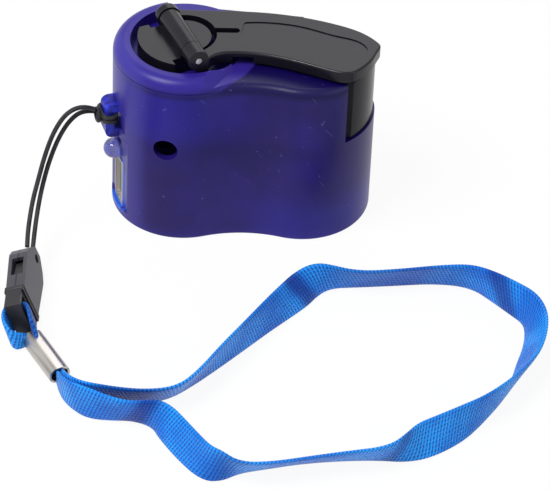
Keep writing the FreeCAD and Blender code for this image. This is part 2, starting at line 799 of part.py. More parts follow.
def build_gears():
    """Drive gear, two compound idlers on axles, and the generator's pinion."""
    pinion = size("pinion_teeth")
    (first, turn_first), (second, turn_second), (last, turn_last) = gear_layout()
    low = size("drive_bottom")
    drive = gear(size("drive_teeth"), 0, Vector(), low, size("drive_height"))
    hole = tube(size("shaft_radius"), PLENTY, Vector(0, 0, low - 1))
    solid("drive_gear", drive.cut(hole))
    bore = size("axle_radius") + size("run_gap")
    stages = (
        ("idler_gear_one", first, turn_first, size("idler_teeth"), size("idler_bottom"),
         size("idler_height"), size("cavity_top") - 0.3),
        ("idler_gear_two", second, turn_second, size("second_teeth"), size("second_bottom"),
         size("second_height"), size("idler_bottom") + size("idler_height") + 0.5),
    )
    for node, centre, turn, teeth, bottom, tall, end in stages:
        wheel = gear(teeth, turn, centre, bottom, tall)
        small = gear(pinion, turn, centre, bottom + tall, end - bottom - tall)
        core = tube(2 * size("axle_radius"), end - bottom, Vector(centre.x, centre.y, bottom))
        whole = wheel.fuse(small).fuse(core)
        solid(node, whole.cut(tube(bore, PLENTY, centre)))
    plate = size("plate_bottom")
    for node, centre, bottom in (("idler_axle_one", first, size("idler_bottom")),
                                 ("idler_axle_two", second, size("second_bottom"))):
        rod = tube(size("axle_radius"), size("cavity_top") - plate, centre + UP * plate)
        collar = plate + size("plate_height")
        tall = bottom - size("axle_float") - collar
        sleeve = tube(size("sleeve_radius"), tall, centre + UP * collar)
        solid(node, rod.fuse(sleeve))
    top = size("rotor_pinion_bottom")
    tall = size("rotor_pinion_height")
    small = gear(pinion, turn_last, last, top, tall)
    hole = tube(size("rotor_shaft_radius"), PLENTY, last + UP * (top - 1))
    solid("generator_pinion", small.cut(hole))
    return last


# ------------------------------------------------------------------ inside

def build_generator(centre):
    """The generator: a can with an open shaft hole, its end cap, and a rotor on a shaft."""
    top = size("plate_bottom")
    tall = size("can_height")
    wall = size("can_wall")
    radius = size("can_radius")
    bottom = top - tall
    at = Vector(centre.x, centre.y, bottom)
    can = tube(radius, tall, at).cut(tube(radius - wall, tall - wall, at))
    run = size("rotor_shaft_radius") + size("run_gap")
    can = can.cut(tube(run, PLENTY, Vector(centre.x, centre.y, top - 2 * wall)))
    solid("generator_can", can)
    cap_height = size("cap_height")
    step = cap_height / 2
    seat = at + UP * (step - size("axle_float"))
    cap = tube(radius - wall, cap_height, at).cut(tube(run, PLENTY, seat))
    solid("generator_cap", cap)
    body = tube(size("rotor_radius"), size("rotor_height"), at + UP * (cap_height + 1))
    end = size("rotor_pinion_bottom") + size("rotor_pinion_height")
    shaft = tube(size("rotor_shaft_radius"), end - at.z - step, at + UP * step)
    solid("generator_rotor", body.fuse(shaft))


def socket_box():
    """The dc socket's block: it stands against the front shell's wall, across its bore."""
    x = size("jack_x")
    z = size("jack_height")
    half = size("jack_body") / 2
    lobe = size("lobe_left_radius") - size("wall")
    front = -math.sqrt(lobe ** 2 - (abs(x) + half) ** 2)
    return Vector(x - half, front, z - half), Vector(x + half, front + size("jack_depth"), z + half)


def build_plate(centre):
    """The gear plate on its ledges: a bean-shaped plate with holes for shafts and wires."""
    gap = size("wall") + size("plate_gap")
    bottom = size("plate_bottom")
    tall = size("plate_height")
    plate = bean(gap, bottom, tall)
    face = face_distance() - size("face_wall") - size("plate_gap")
    plate = plate.cut(outward(face, PLENTY, PLENTY, bottom, bottom + tall))
    low, high = socket_box()
    room = 4 * size("plate_gap")
    low = Vector(low.x - room, -PLENTY, bottom)
    plate = plate.cut(slab(low, Vector(high.x + room, high.y + size("plate_gap"), bottom + tall)))
    (first, _), (second, _), _ = gear_layout()
    for at in (first, second):
        plate = plate.cut(tube(size("axle_radius"), PLENTY, at))
    plate = plate.cut(tube(2 * size("rotor_shaft_radius"), PLENTY, centre))
    solid("gear_plate", plate)


def build_electrics():
    """USB socket, its tongue, the light, the dc socket and the board behind them."""
    face = face_distance()
    depth = size("usb_depth")
    half = size("usb_width") / 2
    tall = size("usb_height") / 2
    centre = size("usb_centre")
    wall = size("usb_wall")
    shell = outward(face - depth, face + size("usb_proud"), half, centre - tall, centre + tall)
    inside = tall - wall
    room = outward(face - depth + wall, PLENTY, half - wall, centre - inside, centre + inside)
    solid("usb_shell", shell.cut(room))
    thin = size("tongue_thickness") / 2
    inside -= size("tongue_gap")
    end = face - size("tongue_depth")
    tongue = outward(face - depth + wall, end, thin, centre - inside, centre + inside)
    tongue.translate(heading(size("face_heading") + 90, size("tongue_side")))
    solid("usb_tongue", tongue)
    board_x = face - depth
    board_back = board_x - size("board_thickness")
    foot = size("wall") + 4 * size("plate_gap")
    board_top = min(socket_box()[0].z, size("plate_bottom")) - size("board_gap")
    board = outward(board_back, board_x, size("board_width") / 2, foot, board_top)
    solid("circuit_board", board)
    along = heading(size("face_heading"))
    high = size("led_height")
    back = face - size("led_body")
    radius = size("led_radius")
    neck = face + size("led_neck")
    led = tube(radius, neck - back, along * back + UP * high, along)
    dome = Part.makeSphere(radius, along * neck + UP * high)
    solid("led", led.fuse(dome).removeSplitter())
    wire = size("lead_width") / 2
    leads = []
    for side in (-1, 1):
        level = high + side * size("lead_pitch") / 2
        leads.append(outward(board_x, back, wire, level - wire, level + wire))
    solid("led_leads", Part.makeCompound(leads))
    low, high = socket_box()
    bore_at = Vector((low.x + high.x) / 2, low.y, (low.z + high.z) / 2)
    deep = size("jack_depth") - size("jack_end")
    bore = tube(size("jack_bore"), deep, bore_at, BACK)
    pin = tube(size("jack_pin"), deep, bore_at + BACK * size("jack_end"), BACK)
    solid("dc_socket", slab(low, high).cut(bore).fuse(pin))


# ------------------------------------------------------------------ lanyard

def rounded_path(points, most=0.45):
    """Straight runs joined by tangent arcs, each as large as its two runs allow."""
    edges = []
    start = points[0]
    radii = []
    for before, corner, after in zip(points, points[1:], points[2:]):
        into = (corner - before)
        out = (after - corner)
        run = min(into.Length, out.Length)
        into.normalize()
        out.normalize()
        half = into.getAngle(out) / 2
        trim = most * run
        radii.append(trim / math.tan(half))
        begin = corner - into * trim
        end = corner + out * trim
        inner = (out - into)
        inner.normalize()
        sagitta = radii[-1] / math.cos(half) - radii[-1]
        edges.append(Part.LineSegment(start, begin).toShape())
        edges.append(Part.Arc(begin, corner + inner * sagitta, end).toShape())
        start = end
    edges.append(Part.LineSegment(start, points[-1]).toShape())
    return Part.Wire(edges), radii


def cord(node, points):
    """A round cord along a rounded path, with its volume compared with its length."""
    path, radii = rounded_path(points)
    radius = size("cord_diameter") / 2
    direction = points[1] - points[0]
    circle = Part.Wire(Part.makeCircle(radius, points[0], direction))
    shape = path.makePipeShell([circle], True, False)
    expected = math.pi * radius ** 2 * path.Length
    print(node, "length", round(path.Length, 1), "least radius", round(min(radii), 2),
          "volume share", round(shape.Volume / expected, 4))
    solid(node, shape)


STRAND_ONE = [
    (-20.3, -6.8, 28.6), (-24.0, -7.9, 29.0), (-27.8, -9.4, 27.2), (-30.4, -11.5, 24.3),
    (-32.4, -14.0, 20.9), (-34.0, -17.0, 17.4), (-35.2, -20.2, 14.2), (-35.9, -23.6, 11.2),
    (-36.3, -26.8, 8.6), (-36.3, -29.1, 7.4),
]
STRAND_TWO = [
    (-20.5, -5.8, 27.4), (-24.0, -6.9, 27.2), (-27.1, -8.6, 25.6), (-29.7, -10.6, 22.8),
    (-31.6, -13.2, 19.4), (-32.9, -16.2, 16.0), (-33.8, -19.6, 13.0), (-34.4, -23.1, 10.3),
    (-34.8, -26.5, 8.2), (-35.0, -29.1, 6.8),
]


def build_cord():
    """The thin cord: two strands from the hitch on the lug to the buckle."""
    for node, points in (("cord_strand_one", STRAND_ONE), ("cord_strand_two", STRAND_TWO)):
        cord(node, [Vector(*p) for p in points])
    thick = size("cord_diameter")
    reach = lug_reach()
    bar = size("lug_bar")
    wide = size("lug_width") / 2
    gap = size("cord_gap")
    turns = []
    for level in (-0.6, 0.6):
        middle = size("lug_height") + level * thick
        low, high = middle - thick / 2, middle + thick / 2
        grow = gap + thick
        outer = outward(reach - bar - grow, reach + grow, wide + grow, low, high)
        rims = [e for e in outer.Edges if abs(e.BoundBox.ZLength - thick) < 1e-6]
        outer = outer.makeFillet(thick, rims)
        inner = outward(reach - bar - gap, reach + gap, wide + gap, low, high)
        turns.append(outer.cut(inner))
    solid("cord_hitch", Part.makeCompound(turns))


def buckle_place():
    """The buckle's own frame: X from its cord end to its strap end, Y across, Z up."""
    lean = Rotation(Vector(1, 0, 0), size("buckle_lean") - 90)
    turn = Rotation(UP, size("buckle_heading"))
    tilt = math.radians(90 - size("buckle_lean"))
    high = size("buckle_width") / 2 * math.sin(tilt) + size("buckle_thickness") / 2 * math.cos(tilt)
    base = Vector(size("buckle_x"), size("buckle_y"), high)
    return Placement(base, turn.multiply(lean))


def placed(shape, placement):
    """A copy of a shape, moved from its own frame to its place."""
    copy = shape.copy()
    copy.Placement = placement.multiply(copy.Placement)
    return copy


def build_buckle():
    """A small side-release buckle: a socket with windows, and a plug with two prongs."""
    frame = buckle_place()
    wide = size("buckle_width") / 2
    thick = size("buckle_thickness") / 2
    long = size("buckle_socket_length")
    outline = [(0, -1.6), (3.2, -wide + 1.0), (5.6, -wide), (7, -wide), (long, -wide + 0.6)]
    outline += [(x, -y) for x, y in reversed(outline)]
    body = prism(outline, -thick, 2 * thick)
    room = [(5.2, -wide + 1.0), (long + 1, -wide + 0.6), (long + 1, wide - 0.6), (5.2, wide - 1.0)]
    body = body.cut(prism(room, -thick + 1.1, 2 * thick - 2.2))
    for side in (-1, 1):
        window = slab(Vector(7.2, min(side * wide * 2, side * 2.6), -thick + 0.9),
                      Vector(12.6, max(side * wide * 2, side * 2.6), thick - 0.9))
        body = body.cut(window)
    body = body.cut(tube(size("cord_diameter"), 20, Vector(2.6, 0, -10)))
    solid("buckle_socket", placed(body, frame))
    gap = 0.3
    plug = size("buckle_plug_length")
    block = slab(Vector(long + 0.1, -wide, -thick), Vector(long + 1.9, wide, thick))
    bar_high = size("buckle_bar_half_height")
    bar = size("buckle_bar")
    frame_bar = slab(Vector(long + 1.9, -wide, -bar_high), Vector(long + plug, wide, bar_high))
    hole = slab(Vector(long + 2.9, 0.9 - wide, -thick), Vector(long + plug - bar, wide - 0.9, thick))
    male = block.fuse(frame_bar.cut(hole))
    tongue = thick - 1.1 - gap
    male = male.fuse(slab(Vector(6.2, -0.7, -tongue), Vector(long + 0.2, 0.7, tongue)))
    for side in (-1, 1):
        prong = [(long + 0.2, side * (wide - 2.9)), (long + 0.2, side * (wide - 4.0)),
                 (7.8, side * (wide - 3.4)), (7.8, side * (wide - 1.3)),
                 (12.2, side * (wide - 1.0)), (12.2, side * (wide - 2.6))]
        male = male.fuse(prism(prong, -tongue, 2 * tongue))
    solid("buckle_plug", placed(male.removeSplitter(), frame))


# The strap's way between its two ends at the ferrule, seen from above.
STRAP_ROUTE = [
    (-22.0, -73.4), (-13.0, -76.6), (-4.5, -76.0), (3.0, -70.5), (8.0, -62.5), (14.0, -52.5),
    (20.5, -43.0), (27.5, -36.3), (34.5, -34.6), (43.5, -35.2), (53.0, -34.8), (62.5, -33.2),
    (71.0, -33.6), (78.0, -37.0), (81.8, -43.5), (82.0, -52.0), (79.0, -60.5), (74.5, -69.0),
    (69.0, -77.0), (62.0, -83.6), (54.0, -88.3), (45.0, -92.4), (34.0, -94.6), (22.5, -96.6),
    (12.5, -98.8), (5.8, -97.0), (1.0, -89.5), (-3.0, -82.8), (-8.5, -80.8), (-16.0, -81.0),
    (-22.0, -77.6),
]


def strip(points, across, tall):
    """A strip along a rounded path on the floor, with its thickness across and its height."""
    path, radii = rounded_path([Vector(x, y, 0) for x, y in points])
    start = Vector(*points[0], 0)
    ahead = Vector(*points[1], 0) - start
    ahead.normalize()
    side = UP.cross(ahead) * (across / 2)
    rise = UP * tall
    low, high = start - side, start + side
    section = Part.makePolygon([low, high, high + rise, low + rise, low])
    shape = path.makePipeShell([section], True, False)
    share = shape.Volume / (across * tall * path.Length)
    print("strap length", round(path.Length, 1), "least radius", round(min(radii), 1),
          "volume share", round(share, 4))
    return shape


def bar_box(grow, half_width):
    """A box round the plug's bar, in the buckle's frame, grown by a gap."""
    end = size("buckle_socket_length") + size("buckle_plug_length")
    high = size("buckle_bar_half_height") + grow
    low = Vector(end - size("buckle_bar") - grow, -half_width, -high)
    return slab(low, Vector(end + grow, half_width, high))


def build_strap():
    """The webbing loop on its edge, its metal ferrule, and the tab round the plug's bar."""
    along = heading(size("ferrule_heading"))
    across = heading(size("ferrule_heading") + 90)
    half = size("ferrule_length") / 2
    mouth = Vector(size("ferrule_x"), size("ferrule_y"), 0) + along * (half + size("strap_end_gap"))
    ends = [mouth + across * (side * size("strap_end_apart") / 2) for side in (1, -1)]
    first, last = [(end.x, end.y) for end in ends]
    route = [first] + STRAP_ROUTE + [last]
    thick = size("strap_thickness")
    solid("wrist_strap", strip(route, thick, size("strap_width")))
    turn = Rotation(UP, size("ferrule_heading"))
    high = size("ferrule_thickness") / 2
    middle = Placement(Vector(size("ferrule_x"), size("ferrule_y"), high), turn)
    wide = size("ferrule_width") / 2
    wall = size("ferrule_wall")
    sleeve = rounded_bar(half, wide, high)
    inner = rounded_bar(half, wide - wall, high - wall)
    solid("strap_ferrule", placed(sleeve.cut(inner), middle))
    tail = size("gather_tail")
    gather = rounded_bar(half + tail / 2, wide - wall, high - wall)
    gather.translate(Vector(-tail / 2, 0, 0))
    gap = size("tab_gap")
    tab_half = size("tab_width") / 2
    tab = bar_box(gap + thick, tab_half)
    rims = [e for e in tab.Edges if abs(e.BoundBox.YLength - 2 * tab_half) < 1e-6]
    tab = placed(tab.makeFillet(thick, rims), buckle_place()).cut(placed(sleeve, middle))
    whole = tab.fuse(placed(gather, middle))
    clear = placed(bar_box(gap, size("buckle_width")), buckle_place())
    solid("strap_gather", whole.cut(clear).removeSplitter())


def rounded_bar(half_length, half_width, half_height):
    """A bar along X whose section is a slot: flat sides and round ends."""
    box = slab(Vector(-half_length, -half_width + half_height, -half_height),
               Vector(half_length, half_width - half_height, half_height))
    for side in (-1, 1):
        at = Vector(-half_length, side * (half_width - half_height), 0)
        box = box.fuse(tube(half_height, 2 * half_length, at, Vector(1, 0, 0)))
    return box.removeSplitter()


build_housing()
build_shell_screws()
build_hub()
build_arm()
build_hinge_pin()
build_grip()
build_grip_pin()
rotor_centre = build_gears()
build_generator(rotor_centre)
build_plate(rotor_centre)
build_electrics()
build_cord()
build_buckle()
build_strap()

doc.recompute()
for item in doc.Objects:
    if {"Invalid", "Error"} & set(item.State):
        raise RuntimeError(f"{item.Name} did not recompute: {item.State}")
for node, item in PARTS.items():
    if item.Shape.isNull() or not item.Shape.isValid() or not item.Shape.Solids:
        raise RuntimeError(f"{node} has no valid solid")
os.makedirs("parts", exist_ok=True)
for node, item in PARTS.items():
    item.Shape.exportStep(f"parts/{node}.step")
    print(node, len(item.Shape.Solids), "solids", round(item.Shape.Volume, 1))
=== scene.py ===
"""Looks of the hand crank phone charger: finishes, soft pieces, lights and camera.

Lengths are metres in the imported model's own frame, and places in the finishes are millimetres.
The sub-parts keep the shapes that the frame gives them, apart from the soft ones: the thin
cord, its hitch, the webbing loop and the webbing's fold round the buckle's bar are made here in
the place of their plain solids.  The plug's thin lip is added to them.
"""
import bpy
import math
import numpy as np
from mathutils import Matrix, Vector


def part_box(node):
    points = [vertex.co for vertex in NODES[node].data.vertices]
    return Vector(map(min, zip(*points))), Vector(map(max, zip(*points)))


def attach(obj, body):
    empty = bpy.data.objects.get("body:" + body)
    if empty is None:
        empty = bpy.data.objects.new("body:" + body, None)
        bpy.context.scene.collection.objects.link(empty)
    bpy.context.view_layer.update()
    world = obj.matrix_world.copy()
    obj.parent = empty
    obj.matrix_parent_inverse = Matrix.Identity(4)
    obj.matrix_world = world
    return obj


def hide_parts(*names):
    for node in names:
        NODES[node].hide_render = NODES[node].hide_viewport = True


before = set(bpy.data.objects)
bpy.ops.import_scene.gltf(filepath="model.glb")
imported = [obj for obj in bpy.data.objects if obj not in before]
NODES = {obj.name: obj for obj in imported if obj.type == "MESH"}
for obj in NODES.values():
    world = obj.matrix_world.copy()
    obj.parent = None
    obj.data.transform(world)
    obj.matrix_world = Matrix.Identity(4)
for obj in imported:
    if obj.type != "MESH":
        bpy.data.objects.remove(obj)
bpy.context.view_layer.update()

MM = 0.001
UP = np.array([0.0, 0.0, 1.0])
LEVEL = np.array([1.0, 1.0, 0.0])  # what a path is multiplied by to lay it flat

# ------------------------------------------------------------------ camera and lamps

FRAME_WIDTH = 550  # pixels
SENSOR = 36.0  # millimetres
FOCAL_PIXELS = 3611.0
CAMERA_AZIMUTH = math.radians(-2.811)
CAMERA_ELEVATION = math.radians(40.654)
CAMERA_ROLL = math.radians(2.584)
CAMERA_DISTANCE = 0.85037
CAMERA_NEAR = 0.05
CAMERA_TARGET = Vector((0.0218, -0.02494, 0.00525))

# name, place, the point that it looks at, width, and power in watts
LAMPS = (
    ("key_lamp", (-0.35, -0.25, 0.75), (0.01, -0.02, 0.02), 0.35, 6.6),
    ("fill_lamp", (0.65, -0.5, 0.45), (0.01, -0.02, 0.02), 0.6, 1.4),
    ("rim_lamp", (0.15, 0.6, 0.6), (0.01, 0.0, 0.03), 0.5, 1.2),
)


def add_camera():
    """The camera looks at the target from its azimuth, elevation and distance, with a roll."""
    across, rise = math.cos(CAMERA_ELEVATION), math.sin(CAMERA_ELEVATION)
    back = Vector((math.sin(CAMERA_AZIMUTH) * across, -math.cos(CAMERA_AZIMUTH) * across, rise))
    right = Vector((math.cos(CAMERA_AZIMUTH), math.sin(CAMERA_AZIMUTH), 0))
    up = back.cross(right)
    side = math.cos(CAMERA_ROLL) * right + math.sin(CAMERA_ROLL) * up
    top = math.cos(CAMERA_ROLL) * up - math.sin(CAMERA_ROLL) * right
    data = bpy.data.cameras.new("camera")
    data.sensor_width = SENSOR
    data.lens = FOCAL_PIXELS * SENSOR / FRAME_WIDTH
    data.clip_start = CAMERA_NEAR
    camera = bpy.data.objects.new("camera", data)
    turn = Matrix((side, top, back)).transposed().to_4x4()
    camera.matrix_world = Matrix.Translation(CAMERA_TARGET + back * CAMERA_DISTANCE) @ turn
    bpy.context.collection.objects.link(camera)
    bpy.context.scene.camera = camera


def add_lamp(name, place, aim, size, power):
    """A square area lamp at a place, aimed at a point."""
    data = bpy.data.lights.new(name, "AREA")
    data.size = size
    data.energy = power
    lamp = bpy.data.objects.new(name, data)
    lamp.location = place
    lamp.rotation_euler = (Vector(place) - Vector(aim)).to_track_quat("Z", "Y").to_euler()
    bpy.context.collection.objects.link(lamp)


# ------------------------------------------------------------------ shader maths

class Value:
    """A socket of a node tree; Python's operators on it add Math nodes."""

    def __init__(self, finish, socket):
        self.finish = finish
        self.socket = socket

    def math(self, operation, *others):
        """One Math node with this value first."""
        return self.finish.node("ShaderNodeMath", {"operation": operation}, (self, *others))

    def __add__(self, other):
        return self.math("ADD", other)

    def __sub__(self, other):
        return self.math("SUBTRACT", other)

    def __rsub__(self, other):
        return self.finish.node("ShaderNodeMath", {"operation": "SUBTRACT"}, (other, self))

    def __mul__(self, other):
        return self.math("MULTIPLY", other)

    __radd__ = __add__
    __rmul__ = __mul__

    def clamp(self):
        """The value held between 0 and 1."""
        return self.finish.node("ShaderNodeClamp", {}, (self,))

    def smooth(self, low, high):
        """0 at low, 1 at high and a smooth step between, whichever of the two is greater."""
        settings = {"interpolation_type": "SMOOTHSTEP"}
        return self.finish.node("ShaderNodeMapRange", settings, (self, low, high, 0.0, 1.0))

    def near(self, low, high, soft):
        """1 where the value lies between two bounds, with a soft edge outside them."""
        return self.smooth(low - soft, low) * self.smooth(high + soft, high)

    def wave(self, length):
        """A sine of the value, from 0 to 1, that comes round again after a length."""
        return (self * (2 * math.pi / length)).math("SINE") * 0.5 + 0.5


SCRATCH_TURN = (0.5, 0.9, 0.4)  # radians
SCRATCH_STRETCH = 30.0  # how much longer a scratch is than it is wide
SCRATCH_SCALE = 1400.0  # grains of the noise to the metre
SCRATCH_PEAKS = (0.815, 0.845)  # the levels of the noise between which a scratch begins


class Finish:
    """A material built from nodes round its Principled shader."""

    def __init__(self, name):
        self.material = bpy.data.materials.new(name)
        self.material.use_nodes = True
        self.tree = self.material.node_tree
        self.shader = self.tree.nodes["Principled BSDF"]

    def node(self, kind, settings, values=(), output=0):
        """Any node: its settings first, then its sockets by order or by name."""
        node = self.tree.nodes.new(kind)
        for key, setting in settings.items():
            setattr(node, key, setting)
        pairs = values.items() if isinstance(values, dict) else enumerate(values)
        for key, value in pairs:
            self.feed(node.inputs[key], value)
        return Value(self, node.outputs[output])

    def feed(self, socket, value):
        """A link where the value is a socket, and a plain setting where it is a number."""
        if isinstance(value, Value):
            self.tree.links.new(value.socket, socket)
        else:
            socket.default_value = value

    def set(self, **values):
        """Sockets of the shader, with spaces written as underscores."""
        for key, value in values.items():
            self.feed(self.shader.inputs[key.replace("_", " ")], value)
        return self

    def coordinates(self, kind):
        """The piece's own coordinates of one kind, Object or UV."""
        return self.node("ShaderNodeTexCoord", {}, (), kind)

    def parts(self, vector):
        """The x, y and z of a vector, each as a value."""
        split = self.tree.nodes.new("ShaderNodeSeparateXYZ")
        self.feed(split.inputs[0], vector)
        return [Value(self, output) for output in split.outputs]

    def place(self):
        """Object coordinates as x, y and z in millimetres."""
        values = {0: self.coordinates("Object"), "Scale": 1 / MM}
        return self.parts(self.node("ShaderNodeVectorMath", {"operation": "SCALE"}, values))

    def grains(self, vector, scale, detail):
        """Noise over a vector in metres, from 0 to 1, with about scale grains to the metre."""
        values = {"Vector": vector, "Scale": scale, "Detail": detail}
        return self.node("ShaderNodeTexNoise", {}, values)

    def noise(self, size, detail=2.0):
        """Noise whose grains are about size millimetres, from 0 to 1."""
        return self.grains(self.coordinates("Object"), 1 / (size * MM), detail)

    def drawn(self, turn, stretch):
        """Object coordinates turned and stretched, over which a noise is drawn out to lines."""
        values = {"Vector": self.coordinates("Object"), "Rotation": turn, "Scale": stretch}
        return self.node("ShaderNodeMapping", {"vector_type": "TEXTURE"}, values)

    def scratches(self):
        """A few thin scratches: the peaks of a noise drawn out along a slant."""
        slant = self.drawn(SCRATCH_TURN, (SCRATCH_STRETCH, 1.0, 1.0))
        return self.grains(slant, SCRATCH_SCALE, 0.0).smooth(*SCRATCH_PEAKS)

    def blend(self, share, first, second):
        """A mix of two colours."""
        values = {0: share, 6: first, 7: second}
        return self.node("ShaderNodeMix", {"data_type": "RGBA"}, values, 2)

    def bumped(self, height, depth, strength):
        """The shader gets its normal from a height in 0 to 1 that stands depth millimetres proud."""
        values = {"Height": height, "Distance": depth * MM, "Strength": strength}
        return self.set(Normal=self.node("ShaderNodeBump", {}, values))


def rgb(red, green, blue):
    """An opaque colour from linear parts."""
    return (red, green, blue, 1.0)


# ------------------------------------------------------------------ finishes

BUCKLE_HEADING = math.radians(-93.0)  # the way the buckle runs, from its cords to its bar
BUCKLE_LEAN = math.radians(20.0)  # how far it leans over from standing on its edge
BAR = np.array([-37.21, -52.67, 5.67]) * MM  # the middle of the plug's bar
BAR_AHEAD = np.array([math.cos(BUCKLE_HEADING), math.sin(BUCKLE_HEADING), 0.0])
BAR_LEFT = np.cross(UP, BAR_AHEAD)
BAR_UP = math.cos(BUCKLE_LEAN) * UP - math.sin(BUCKLE_LEAN) * BAR_LEFT  # along its width
BAR_OUT = math.cos(BUCKLE_LEAN) * BAR_LEFT + math.sin(BUCKLE_LEAN) * UP  # through its thickness

# the shell's places are millimetres from the crank's axis and from the ground, and a pair
# says where a change of tone starts and where it is complete, unless its comment says more
UPPER_RISE, UPPER_LEFT = (20.0, 36.0), (20.0, -6.0)  # painted light: the brighter blue of the upper left, where the light falls
LOWER_DROP, LOWER_RIGHT = (16.0, 5.0), (12.0, 26.0)  # the brighter blue of the lower right
GEAR_PLATE_HEIGHT = 26.0  # where the painted shadow of the plate inside darkens the frosted shell
GEAR_PLATE_SHADE = (4.0, 0.5)  # how far from that height the plate's painted shadow reaches
FOOT_DROP = (3.5, 0.0)
# the collar's top is painted paler, as a reflection of the light from above
COLLAR_EDGE, COLLAR_RISE = (17.6, 16.8), (42.0, 45.0)
# the deck is painted dark as the shadow under the crank's arm
DECK_RISE = (41.0, 43.4)
END_HEADING = math.radians(-163.0)  # the way the flat left end looks
END_FACE = 15.6  # from the crank's axis to that flat end
# where the flat left end is painted paler, as a reflection of the white surroundings
END_OUT = (12.0, END_FACE - 0.4)
LUG_HALF, LUG_LOW, LUG_HIGH = 2.4, 23.0, 33.0  # half the lug's width, and its heights
LUG_OUT = (END_FACE, END_FACE + 0.6)
MOUTH_HALF, MOUTH_RIM = 3.2, 0.7  # half the width of the USB mouth, and its rim's height
MOUTH_OUT = (14.0, 14.6)
RIDGE = (4.2, 4.7)  # the two sides of the painted light on the edge beside the mouth
RIDGE_OUT = (12.6, 13.2)
RIDGE_BELOW, RIDGE_SHORT = 0.5, 2.0  # how far it goes below the mouth, and ends below its top
CRISP, SOFT = 0.2, 0.5  # the width of a mask's soft edge


def shell_areas(finish):
    """Where the shell's tone changes, in the order of painting: a mask, its share, its tone. Most of
    these tones are painted light and shade.
    """
    x, y, z = finish.place()
    upper_left_light = z.smooth(*UPPER_RISE) * x.smooth(*UPPER_LEFT)
    lower = z.smooth(*LOWER_DROP) * x.smooth(*LOWER_RIGHT)
    plate_shadow = (z - GEAR_PLATE_HEIGHT).math("ABSOLUTE").smooth(*GEAR_PLATE_SHADE)
    foot = z.smooth(*FOOT_DROP)
    radius = (x * x + y * y).math("SQRT")
    collar_reflection = radius.smooth(*COLLAR_EDGE) * z.smooth(*COLLAR_RISE)
    arm_shadow = z.smooth(*DECK_RISE) * (1 - collar_reflection)
    out = x * math.cos(END_HEADING) + y * math.sin(END_HEADING)
    side = y * math.cos(END_HEADING) - x * math.sin(END_HEADING)
    # painted reflection on the flat left end
    end = out.smooth(*END_OUT)
    lug = side.near(-LUG_HALF, LUG_HALF, CRISP) * z.near(LUG_LOW, LUG_HIGH, CRISP)
    lug = lug * out.smooth(*LUG_OUT)
    # painted glow: the lug's clearer patches glow azure, as light shining through it
    clear = finish.noise(1.6).smooth(0.4, 0.65)
    lug_glow = finish.blend(clear, rgb(0.010, 0.007, 0.20), rgb(0.020, 0.035, 0.56))
    low, high = (corner[2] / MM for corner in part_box("usb_shell"))
    mouth = side.near(-MOUTH_HALF, MOUTH_HALF, SOFT) * z.near(low - MOUTH_RIM, high + MOUTH_RIM, SOFT)
    ridge = side.near(*RIDGE, 0.3) * z.near(low - RIDGE_BELOW, high - RIDGE_SHORT, 0.6)
    # painted light: the USB mouth's rim and the edge beside it lit a bright azure
    bright = mouth * out.smooth(*MOUTH_OUT) + ridge * out.smooth(*RIDGE_OUT) * 0.7
    marks = finish.scratches() * 0.16 + finish.noise(1.3, 0.0).smooth(0.84, 0.87) * 0.3
    return (
        # painted light: the upper left made brighter, where the light falls on it
        (upper_left_light, 0.75, rgb(0.018, 0.011, 0.27)),
        (lower, 0.6, rgb(0.018, 0.014, 0.25)),
        # painted shadow of the gear plate inside, seen as a dark band through the shell
        (plate_shadow, 0.35, rgb(0.007, 0.003, 0.07)),
        (foot, 0.4, rgb(0.030, 0.022, 0.24)),
        # painted shadow of the crank's arm on the deck
        (arm_shadow, 0.95, rgb(0.003, 0.001, 0.055)),
        # painted reflection: the collar's top made paler, as if lit from above
        (collar_reflection, 0.7, rgb(0.030, 0.017, 0.24)),
        # painted reflection: the flat left end made paler
        (end, 0.5, rgb(0.060, 0.048, 0.32)),
        # painted glow of light through the lug
        (lug, 0.9, lug_glow),
        # painted light on the USB mouth's rim and the edge beside it
        (bright.clamp(), 0.9, rgb(0.014, 0.12, 0.72)),
        (marks.clamp(), 1.0, rgb(0.16, 0.13, 0.50)),
    )


def frosted_shell():
    """Frosted ultramarine plastic: a cloudy blue with the tones of its areas painted over it, most of
    them painted light and shade.
    """
    finish = Finish("frosted_blue_shell")
    cloud = finish.noise(16, 3.0).smooth(0.35, 0.7)
    base = finish.blend(cloud, rgb(0.013, 0.006, 0.105), rgb(0.019, 0.009, 0.165))
    for mask, share, tone in shell_areas(finish):
        base = finish.blend(mask * share, base, tone)
    grain = finish.noise(0.35)
    finish.set(Base_Color=base, Roughness=grain * 0.10 + 0.30, Specular_IOR_Level=0.22)
    finish.set(Subsurface_Weight=0.08, Subsurface_Radius=(0.2, 0.25, 1.0), Subsurface_Scale=0.003)
    return finish.bumped(grain, 0.02, 0.4)


MOULD_GRAIN, MOULD_CLOUD = 0.25, 7  # mm, the grain of a moulded face and its cloudy patches


def moulded(name, colour, rough, shine=0.35):
    """Moulded plastic with a fine grain, slightly cloudy, with a few paler scratches."""
    finish = Finish(name)
    grain = finish.noise(MOULD_GRAIN)
    patch = finish.noise(MOULD_CLOUD)
    pale = rgb(*(min(1.0, part * 1.5 + 0.004) for part in colour[:3]))
    paler = patch.smooth(0.35, 0.75) * 0.5 + finish.scratches() * 0.4
    finish.set(Base_Color=finish.blend(paler, colour, pale), Specular_IOR_Level=shine)
    finish.set(Roughness=patch * 0.1 + grain * 0.08 + rough - 0.09)
    return finish.bumped(grain, 0.015, 0.5)


